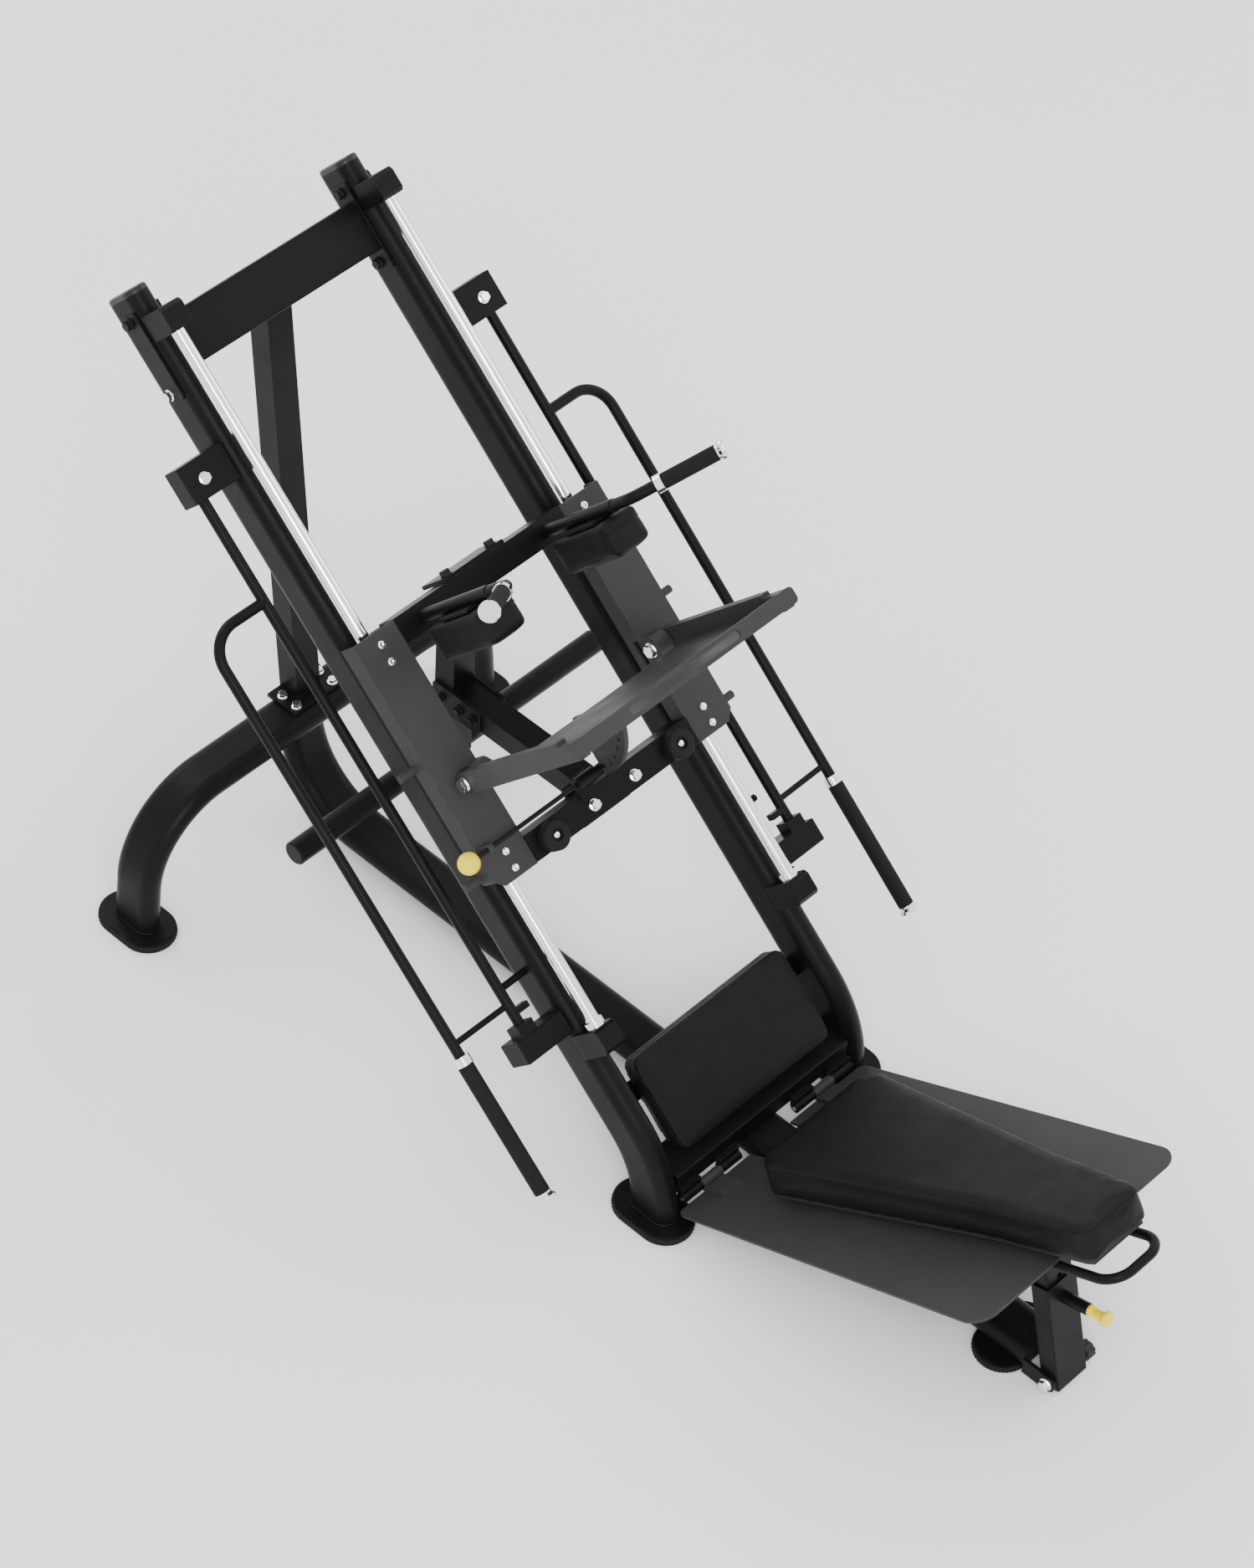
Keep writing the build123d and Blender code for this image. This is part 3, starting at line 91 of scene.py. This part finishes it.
class Graph:
    """A material's node tree with short calls for the nodes used here."""

    def __init__(self, name):
        self.material = bpy.data.materials.new(name)
        self.material.use_nodes = True
        self.tree = self.material.node_tree
        self.tree.nodes.clear()
        self.output = self.tree.nodes.new("ShaderNodeOutputMaterial")
        self.shader = self.tree.nodes.new("ShaderNodeBsdfPrincipled")
        self.link(self.shader.outputs["BSDF"], self.output.inputs["Surface"])
        coords = self.tree.nodes.new("ShaderNodeTexCoord")
        self.place = coords.outputs["Object"]

    def link(self, source, target):
        self.tree.links.new(source, target)

    def set(self, **values):
        """Plain numbers and colours on the shader's own sockets."""
        for key, value in values.items():
            self.shader.inputs[key.replace("_", " ")].default_value = value

    def noise(self, scale, detail=3.0, roughness=0.55, stretch=None):
        node = self.tree.nodes.new("ShaderNodeTexNoise")
        node.inputs["Scale"].default_value = scale
        node.inputs["Detail"].default_value = detail
        node.inputs["Roughness"].default_value = roughness
        place = self.place
        if stretch:
            mapping = self.tree.nodes.new("ShaderNodeMapping")
            mapping.inputs["Scale"].default_value = stretch
            self.link(place, mapping.inputs["Vector"])
            place = mapping.outputs["Vector"]
        self.link(place, node.inputs["Vector"])
        return node.outputs["Fac"]

    def cells(self, scale):
        node = self.tree.nodes.new("ShaderNodeTexVoronoi")
        node.feature = "DISTANCE_TO_EDGE"
        node.inputs["Scale"].default_value = scale
        self.link(self.place, node.inputs["Vector"])
        return node.outputs["Distance"]

    def ramp(self, value, low, high, start, end):
        """Maps value between low and high onto start to end, clamped."""
        node = self.tree.nodes.new("ShaderNodeMapRange")
        node.inputs["From Min"].default_value = low
        node.inputs["From Max"].default_value = high
        node.inputs["To Min"].default_value = start
        node.inputs["To Max"].default_value = end
        self.link(value, node.inputs["Value"])
        return node.outputs["Result"]

    def math(self, kind, a, b):
        node = self.tree.nodes.new("ShaderNodeMath")
        node.operation = kind
        for socket, value in zip(node.inputs, (a, b)):
            if isinstance(value, (int, float)):
                socket.default_value = value
            else:
                self.link(value, socket)
        return node.outputs["Value"]

    def mix(self, factor, a, b):
        """Colour mix; a and b are colours or sockets."""
        node = self.tree.nodes.new("ShaderNodeMix")
        node.data_type = "RGBA"
        self.link(factor, node.inputs["Factor"])
        sockets = [s for s in node.inputs if s.type == "RGBA"]
        for socket, value in zip(sockets, (a, b)):
            if isinstance(value, tuple):
                socket.default_value = (*value, 1.0)
            else:
                self.link(value, socket)
        return [s for s in node.outputs if s.type == "RGBA"][0]

    def edges(self, radius):
        """1 on sharp edges and 0 on flat faces, with the rounded normal it is read from."""
        bevel = self.tree.nodes.new("ShaderNodeBevel")
        bevel.samples = 4
        bevel.inputs["Radius"].default_value = radius
        geometry = self.tree.nodes.new("ShaderNodeNewGeometry")
        dot = self.tree.nodes.new("ShaderNodeVectorMath")
        dot.operation = "DOT_PRODUCT"
        self.link(bevel.outputs["Normal"], dot.inputs[0])
        self.link(geometry.outputs["Normal"], dot.inputs[1])
        return self.ramp(dot.outputs["Value"], 0.995, 0.85, 0.0, 1.0), bevel.outputs["Normal"]

    def bump(self, height, strength, distance, normal=None):
        """Fine relief on the shader's normal, over the rounded normal where there is one."""
        node = self.tree.nodes.new("ShaderNodeBump")
        node.inputs["Strength"].default_value = strength
        node.inputs["Distance"].default_value = distance
        self.link(height, node.inputs["Height"])
        if normal is not None:
            self.link(normal, node.inputs["Normal"])
        self.link(node.outputs["Normal"], self.shader.inputs["Normal"])

    def colour(self, source):
        self.link(source, self.shader.inputs["Base Color"])

    def roughness(self, source):
        self.link(source, self.shader.inputs["Roughness"])


def grey(level, tint=0.0):
    return (level, level, level * (1 + tint))


# ---------------------------------------------------------------- materials

def powder_coat(name, level, low_gloss, high_gloss, grain=0.35):
    """Baked powder paint: fine orange peel, faint clouds, rubbed edges and a few dust specks."""
    g = Graph(name)
    worn, rounded = g.edges(0.0016)
    patches = g.noise(34, 4)
    rub = g.math("MULTIPLY", worn, g.ramp(patches, 0.42, 0.66, 0.0, 0.75))
    cloud = g.noise(7, 3)
    speck = g.ramp(g.noise(1500, 1), 0.66, 0.74, 0.0, 1.0)
    base = g.mix(cloud, grey(level * 0.86, 0.03), grey(level * 1.18, 0.03))
    base = g.mix(g.math("MULTIPLY", speck, 0.35), base, grey(level * 2.6 + 0.02))
    base = g.mix(rub, base, grey(level * 2.2 + 0.05))
    g.colour(base)
    g.roughness(g.ramp(g.noise(19, 4), 0.3, 0.7, low_gloss, high_gloss))
    peel = g.math("ADD", g.noise(1100, 2), g.math("MULTIPLY", g.noise(330, 2), 0.6))
    g.bump(peel, grain, 0.00035, rounded)
    g.set(Specular_IOR_Level=0.08)
    return g.material


def chrome():
    """Polished plating with faint smudges and fine wipe marks."""
    g = Graph("chrome_plate")
    _, rounded = g.edges(0.0008)
    smudge = g.noise(22, 5)
    g.colour(g.mix(smudge, (0.82, 0.83, 0.85), (0.93, 0.93, 0.94)))
    g.roughness(g.ramp(smudge, 0.35, 0.75, 0.05, 0.2))
    g.bump(g.noise(260, 2, stretch=(1, 0.15, 0.15)), 0.04, 0.0003, rounded)
    g.set(Metallic=1.0)
    return g.material


def bright_steel():
    g = Graph("ground_steel")
    _, rounded = g.edges(0.0006)
    g.colour(g.mix(g.noise(60, 4), (0.42, 0.42, 0.44), (0.6, 0.6, 0.62)))
    g.roughness(g.ramp(g.noise(90, 3), 0.3, 0.7, 0.22, 0.42))
    g.bump(g.noise(900, 2, stretch=(6, 1, 1)), 0.15, 0.0002, rounded)
    g.set(Metallic=1.0)
    return g.material


def vinyl():
    """Black upholstery vinyl: small leather-like grain, soft sheen, faint handling marks."""
    g = Graph("upholstery_vinyl")
    cells = g.cells(620)
    pores = g.ramp(cells, 0.0, 0.16, 0.0, 1.0)
    folds = g.noise(9, 3)
    g.colour(g.mix(folds, grey(0.0035), grey(0.007)))
    handling = g.ramp(g.noise(14, 4), 0.3, 0.7, 0.0, 0.14)
    g.roughness(g.math("ADD", handling, g.ramp(pores, 0.0, 1.0, 0.46, 0.4)))
    height = g.math("ADD", g.math("MULTIPLY", pores, 0.7), g.math("MULTIPLY", g.noise(160, 3), 0.5))
    g.bump(height, 0.5, 0.0005)
    g.set(Specular_IOR_Level=0.11)
    return g.material


def rubber(name, level, grain_scale, dull):
    """Moulded or foamed rubber with a dusty bloom."""
    g = Graph(name)
    _, rounded = g.edges(0.0012)
    bloom = g.noise(26, 5)
    g.colour(g.mix(bloom, grey(level * 0.8), grey(level * 1.7)))
    g.roughness(g.ramp(bloom, 0.3, 0.7, dull - 0.08, dull + 0.08))
    g.bump(g.noise(grain_scale, 3), 0.4, 0.0006, rounded)
    g.set(Specular_IOR_Level=0.12)
    return g.material


def plastic(name, colour, gloss):
    """Injection-moulded plastic with a light skin texture and soft colour drift."""
    g = Graph(name)
    _, rounded = g.edges(0.001)
    drift = g.noise(30, 3)
    darker = tuple(c * 0.86 for c in colour)
    g.colour(g.mix(drift, darker, colour))
    g.roughness(g.ramp(g.noise(45, 4), 0.3, 0.7, gloss, gloss + 0.12))
    g.bump(g.noise(700, 2), 0.12, 0.0003, rounded)
    g.set(Specular_IOR_Level=0.3)
    return g.material


def stained_board():
    """Black-stained plywood: the layers show only as a slight change of tone and gloss."""
    g = Graph("stained_board")
    layers = g.noise(40, 6, stretch=(0.4, 1, 8))
    g.colour(g.mix(layers, (0.012, 0.011, 0.01), (0.03, 0.027, 0.024)))
    g.roughness(g.ramp(layers, 0.3, 0.7, 0.55, 0.75))
    g.bump(layers, 0.2, 0.0005)
    g.set(Specular_IOR_Level=0.2)
    return g.material


MATERIALS = {
    "black_frame": powder_coat("black_powder_coat", 0.0055, 0.3, 0.42),
    "grey_frame": powder_coat("dark_grey_powder_coat", 0.036, 0.42, 0.54),
    "plate_steel": powder_coat("plate_powder_coat", 0.034, 0.36, 0.48, 0.5),
    "chrome": chrome(),
    "bright_steel": bright_steel(),
    "black_bolts": powder_coat("black_oxide", 0.01, 0.28, 0.42, 0.2),
    "vinyl": vinyl(),
    "rubber": rubber("moulded_rubber", 0.009, 700, 0.72),
    "grip": rubber("grip_sleeve", 0.007, 420, 0.78),
    "black_plastic": plastic("black_plastic", (0.01, 0.01, 0.011), 0.3),
    "yellow_plastic": plastic("yellow_plastic", (0.95, 0.72, 0.0), 0.22),
    "board": stained_board(),
}


def paint_nodes():
    """Gives every CAD node the material of its slot."""
    for part in frame["record"]["subparts"]:
        mesh = NODES[part["node"]].data
        mesh.materials.clear()
        mesh.materials.append(MATERIALS[part["material_slot"]])


# ---------------------------------------------------------------- cushions

def flat_range(obj, axis):
    heights = [v.co.dot(axis) for v in obj.data.vertices]
    return min(heights), max(heights)


def box_axes(obj, axes):
    return [flat_range(obj, axis) for axis in axes]


def activate(obj):
    bpy.ops.object.select_all(action="DESELECT")
    obj.select_set(True)
    bpy.context.view_layer.objects.active = obj


def apply_modifier(obj, name):
    activate(obj)
    bpy.ops.object.modifier_apply(modifier=name)


def soft_copy(name, node):
    """A copy of a CAD pad, pulled in a little so that it has room to swell."""
    source = NODES[node]
    mesh = source.data.copy()
    mesh.name = name
    pad = bpy.data.objects.new(name, mesh)
    bpy.context.scene.collection.objects.link(pad)
    pad.matrix_world = Matrix.Identity(4)
    remesh = pad.modifiers.new("remesh", "REMESH")
    remesh.mode = "VOXEL"
    remesh.voxel_size = VOXEL
    apply_modifier(pad, "remesh")
    mesh = pad.data
    moves = [vertex.normal * -CUSHION_INSET for vertex in mesh.vertices]
    for vertex, move in zip(mesh.vertices, moves):
        vertex.co += move
    return pad


def inflate(pad, outward):
    """Blows the cover up by cloth simulation, pinned on its flat back, with a cap on each move."""
    rest = [v.co.copy() for v in pad.data.vertices]
    pinned_below = flat_range(pad, outward)[0] + VOXEL * 1.5
    group = pad.vertex_groups.new(name="pin")
    base = [v.index for v in pad.data.vertices if v.co.dot(outward) < pinned_below]
    group.add(base, 1.0, "REPLACE")
    cloth = pad.modifiers.new("cloth", "CLOTH")
    settings = cloth.settings
    settings.use_pressure = True
    settings.uniform_pressure_force = CLOTH_PRESSURE
    settings.vertex_group_mass = "pin"
    settings.effector_weights.gravity = 0.0
    scene = bpy.context.scene
    scene.frame_start = 1
    scene.frame_end = CLOTH_FRAMES
    cloth.point_cache.frame_start = 1
    cloth.point_cache.frame_end = CLOTH_FRAMES
    for number in range(1, CLOTH_FRAMES + 1):
        scene.frame_set(number)
    apply_modifier(pad, "cloth")
    for vertex, start in zip(pad.data.vertices, rest):
        move = vertex.co - start
        if move.length > SWELL_CAP:
            vertex.co = start + move * (SWELL_CAP / move.length)
    scene.frame_set(1)
    pad.vertex_groups.clear()


def hold_inside(pad, axes, limits):
    """Keeps the swollen pad inside its CAD solid's box, plus a small margin on the high sides."""
    for vertex in pad.data.vertices:
        for axis, (low, high) in zip(axes, limits):
            height = vertex.co.dot(axis)
            if height < low:
                vertex.co += axis * (low - height)
            if height > high + SWELL_MARGIN:
                vertex.co += axis * (high + SWELL_MARGIN - height)


def smooth_surface(pad):
    mesh = bmesh.new()
    mesh.from_mesh(pad.data)
    bmesh.ops.smooth_vert(
        mesh,
        verts=mesh.verts,
        factor=0.5,
        use_axis_x=True,
        use_axis_y=True,
        use_axis_z=True,
    )
    mesh.to_mesh(pad.data)
    mesh.free()


def crown_face(pad, axes, limits, crown):
    """Lifts the middle of the outer face above its edges, as foam under a tight cover does."""
    (low_a, high_a), (low_b, high_b), (low_c, high_c) = limits
    mid_a, half_a = (low_a + high_a) / 2, (high_a - low_a) / 2
    mid_b, half_b = (low_b + high_b) / 2, (high_b - low_b) / 2
    for vertex in pad.data.vertices:
        a = (vertex.co.dot(axes[0]) - mid_a) / half_a
        b = (vertex.co.dot(axes[1]) - mid_b) / half_b
        c = (vertex.co.dot(axes[2]) - low_c) / (high_c - low_c)
        lift = max(0.0, 1 - a * a) * max(0.0, 1 - b * b) * max(0.0, c) ** 2
        vertex.co += axes[2] * (crown * lift)


def cushion(name, node, body, axes, crown, seam_at):
    """Padded cushion in place of a CAD pad. axes are its long, wide and outward directions."""
    limits = box_axes(NODES[node], axes)
    pad = soft_copy(name, node)
    inflate(pad, axes[2])
    crown_face(pad, axes, limits, crown)
    smooth_surface(pad)
    hold_inside(pad, axes, limits)
    subdivide = pad.modifiers.new("subdivide", "SUBSURF")
    subdivide.levels = 1
    subdivide.render_levels = 1
    apply_modifier(pad, "subdivide")
    for polygon in pad.data.polygons:
        polygon.use_smooth = True
    pad.data.materials.clear()
    pad.data.materials.append(MATERIALS["vinyl"])
    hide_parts(node)
    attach(pad, body)
    seam(pad, axes[2], seam_at, body)


def tube_along(name, points, radius, body, slot):
    """Thin round tube along a closed chain of points, as a mesh piece."""
    curve = bpy.data.curves.new(name, "CURVE")
    curve.dimensions = "3D"
    curve.bevel_depth = radius
    curve.bevel_resolution = 3
    spline = curve.splines.new("POLY")
    spline.points.add(len(points) - 1)
    for point, place in zip(spline.points, points):
        point.co = (*place, 1.0)
    spline.use_cyclic_u = True
    holder = bpy.data.objects.new(name + "_curve", curve)
    bpy.context.scene.collection.objects.link(holder)
    depsgraph = bpy.context.evaluated_depsgraph_get()
    mesh = bpy.data.meshes.new_from_object(holder.evaluated_get(depsgraph))
    bpy.data.objects.remove(holder)
    piece = bpy.data.objects.new(name, mesh)
    bpy.context.scene.collection.objects.link(piece)
    for polygon in mesh.polygons:
        polygon.use_smooth = True
    mesh.materials.clear()
    mesh.materials.append(MATERIALS[slot])
    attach(piece, body)
    return piece


def ordered_loops(mesh):
    """Chains of joined edges of an edge-only bmesh, as lists of places, longest first."""
    left = set(mesh.verts)
    loops = []
    while left:
        vertex = min(left, key=lambda v: v.index)
        chain = []
        while vertex is not None:
            left.discard(vertex)
            chain.append(vertex.co.copy())
            nearby = [e.other_vert(vertex) for e in vertex.link_edges]
            nearby = sorted((v for v in nearby if v in left), key=lambda v: v.index)
            vertex = nearby[0] if nearby else None
        loops.append(chain)
    return sorted(loops, key=len, reverse=True)


def section_outline(obj, axis, height):
    """Outline of a mesh where a plane square to axis cuts it."""
    mesh = bmesh.new()
    mesh.from_mesh(obj.data)
    cut = bmesh.ops.bisect_plane(
        mesh,
        geom=[*mesh.verts, *mesh.edges, *mesh.faces],
        plane_co=axis * height,
        plane_no=axis,
    )
    keep = {item for item in cut["geom_cut"] if isinstance(item, bmesh.types.BMEdge)}
    gone = [edge for edge in mesh.edges if edge not in keep]
    bmesh.ops.delete(mesh, geom=gone, context="EDGES")
    mesh.verts.index_update()
    loops = ordered_loops(mesh)
    mesh.free()
    return loops[0]


def relaxed(points, rounds):
    """Closed chain of points smoothed by averaging neighbours."""
    count = len(points)
    for _ in range(rounds):
        points = [
            (points[k - 1] + points[k] * 2 + points[(k + 1) % count]) / 4
            for k in range(count)
        ]
    return points


def seam(pad, axis, fraction, body):
    """Welted seam round a cushion at a share of its thickness."""
    low, high = flat_range(pad, axis)
    points = section_outline(pad, axis, low + (high - low) * fraction)
    points = relaxed(points[::2], 2)
    tube_along(pad.name + "_seam", points, SEAM_RADIUS, body, "vinyl")


def groups_of(node, tests):
    """Low and high corners of the parts of a node picked out by each test."""
    found = []
    for test in tests:
        spots = [v.co for v in NODES[node].data.vertices if test(v.co)]
        low = Vector([min(s[k] for s in spots) for k in range(3)])
        high = Vector([max(s[k] for s in spots) for k in range(3)])
        found.append((low, high))
    return found


def oval_points(low, high, spacing):
    """Even points, each with its outward direction, round the flat oval that fills a box."""
    wide, long = high.x - low.x, high.y - low.y
    radius = min(wide, long) / 2
    straight = max(wide, long) / 2 - radius
    centre = Vector(((low.x + high.x) / 2, (low.y + high.y) / 2, 0))
    run = Vector((1, 0, 0)) if wide > long else Vector((0, 1, 0))
    side = Vector((0, 0, 1)).cross(run)
    total = 4 * straight + 2 * math.pi * radius
    count = int(total / spacing)
    spots = []
    for k in range(count):
        way = total * k / count
        if way < 2 * straight:
            spots.append((side * -radius + run * (way - straight), -side))
            continue
        way -= 2 * straight
        if way < math.pi * radius:
            turn = way / radius
            out = run * math.sin(turn) - side * math.cos(turn)
            spots.append((run * straight + out * radius, out))
            continue
        way -= math.pi * radius
        if way < 2 * straight:
            spots.append((side * radius + run * (straight - way), side))
            continue
        turn = (way - 2 * straight) / radius
        out = side * math.cos(turn) - run * math.sin(turn)
        spots.append((run * -straight + out * radius, out))
    return [(centre + spot, out) for spot, out in spots]


FOOT_TESTS = (
    lambda p: p.x > 0.1 and p.y < 0,
    lambda p: p.x < -0.1 and p.y < 0,
    lambda p: p.x > 0.1 and p.y > 0,
    lambda p: p.x < -0.1 and p.y > 0,
    lambda p: abs(p.x) < 0.1,
)


def foot_ribs():
    """Row of small upright grip ribs round each rubber sole."""
    mesh = bmesh.new()
    for low, high in groups_of("rubber_feet", FOOT_TESTS):
        for place, out in oval_points(low, high, RIB_SPACING):
            across = Vector((0, 0, 1)).cross(out)
            sides = (across * RIB_WIDE, out * RIB_DEEP, Vector((0, 0, RIB_TALL)))
            base = Matrix(sides).transposed().to_4x4()
            middle = Matrix.Translation(place + Vector((0, 0, RIB_MIDDLE)))
            bmesh.ops.create_cone(
                mesh,
                cap_ends=True,
                segments=8,
                radius1=0.5,
                radius2=0.42,
                depth=1.0,
                matrix=middle @ base,
            )
    data = bpy.data.meshes.new("foot_ribs")
    mesh.to_mesh(data)
    mesh.free()
    piece = bpy.data.objects.new("foot_ribs", data)
    bpy.context.scene.collection.objects.link(piece)
    data.materials.append(MATERIALS["rubber"])
    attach(piece, "frame")


def leg_welds():
    """Rippled weld bead round the foot of each rail and of both legs of the rear arch."""
    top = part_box("foot_base_plates")[1][2]
    sole = top + LEG_FOOT_HEIGHT
    picks = (
        ("rail_right", lambda p: p.z < sole),
        ("rail_left", lambda p: p.z < sole),
        ("rear_arch", lambda p: p.z < sole and p.x > 0),
        ("rear_arch", lambda p: p.z < sole and p.x < 0),
    )
    for number, (node, test) in enumerate(picks):
        low, high = groups_of(node, [test])[0]
        ripples = oval_points(low, high, WELD_SPACING)
        points = [p + Vector((0, 0, top + WELD_LIFT)) for p, _ in ripples]
        bead = tube_along(f"foot_weld_{number}", points, WELD_RADIUS, "frame", "black_frame")
        for vertex in bead.data.vertices:
            wave = math.sin((vertex.co.x + vertex.co.y) * RIPPLE_RATE)
            vertex.co.z += RIPPLE_HEIGHT * wave


# ---------------------------------------------------------------- stage

def floor():
    bpy.ops.mesh.primitive_plane_add(size=60, location=(0, 0, -0.0005))
    plane = bpy.context.object
    plane.name = "floor"
    g = Graph("floor_paper")
    g.colour(g.mix(g.noise(2, 2), (0.93, 0.93, 0.93), (0.95, 0.95, 0.95)))
    g.set(Roughness=0.9)
    plane.data.materials.append(g.material)


def area_light(name, place, target, size, power):
    data = bpy.data.lights.new(name, "AREA")
    data.shape = "SQUARE"
    data.size = size
    data.energy = power
    light = bpy.data.objects.new(name, data)
    light.location = place
    aim = Vector(target) - Vector(place)
    light.rotation_euler = aim.to_track_quat("-Z", "Y").to_euler()
    bpy.context.scene.collection.objects.link(light)


def lighting():
    world = bpy.data.worlds.new("studio")
    world.use_nodes = True
    background = world.node_tree.nodes["Background"]
    background.inputs["Color"].default_value = (1.0, 1.0, 1.0, 1.0)
    background.inputs["Strength"].default_value = 1.6
    bpy.context.scene.world = world
    centre = (0, 0, 0.5)
    area_light("key", (-3.2, -3.6, 4.6), centre, 2.6, 200)
    area_light("fill", (4.2, -1.5, 3.4), centre, 3.0, 60)
    area_light("back", (0.5, 4.6, 4.2), centre, 2.4, 90)


def camera():
    data = bpy.data.cameras.new("camera")
    data.lens = CAMERA_LENS
    data.sensor_width = SENSOR
    data.sensor_fit = "AUTO"
    data.clip_end = 100
    view = bpy.data.objects.new("camera", data)
    swing = Matrix.Rotation(CAMERA_AZIMUTH, 4, "Z")
    tilt = Matrix.Rotation(math.pi / 2 - CAMERA_ELEVATION, 4, "X")
    roll = Matrix.Rotation(CAMERA_ROLL, 4, "Z")
    view.matrix_world = Matrix.Translation(CAMERA_PLACE) @ (swing @ tilt) @ roll
    bpy.context.scene.collection.objects.link(view)
    bpy.context.scene.camera = view


def cushions():
    """The four pads, each with the height of its crown and its seam's share of the thickness."""
    cushion("seat_cushion", "seat_pad", "frame", (X_AXIS, RAIL_DOWN, RAIL_OUT), 0.003, 0.72)
    cushion("back_cushion", "back_pad", "tilting_plate", (PLATE_UP, X_AXIS, PLATE_OUT), 0.004, 0.8)
    axes = (RAIL_OUT, X_AXIS, RAIL_DOWN)
    for side in ("left", "right"):
        names = (f"shoulder_cushion_{side}", f"shoulder_pad_{side}", f"shoulder_rest_{side}")
        cushion(*names, axes, 0.002, 0.3)


paint_nodes()
cushions()
foot_ribs()
leg_welds()
floor()
lighting()
camera()
bpy.context.view_layer.update()
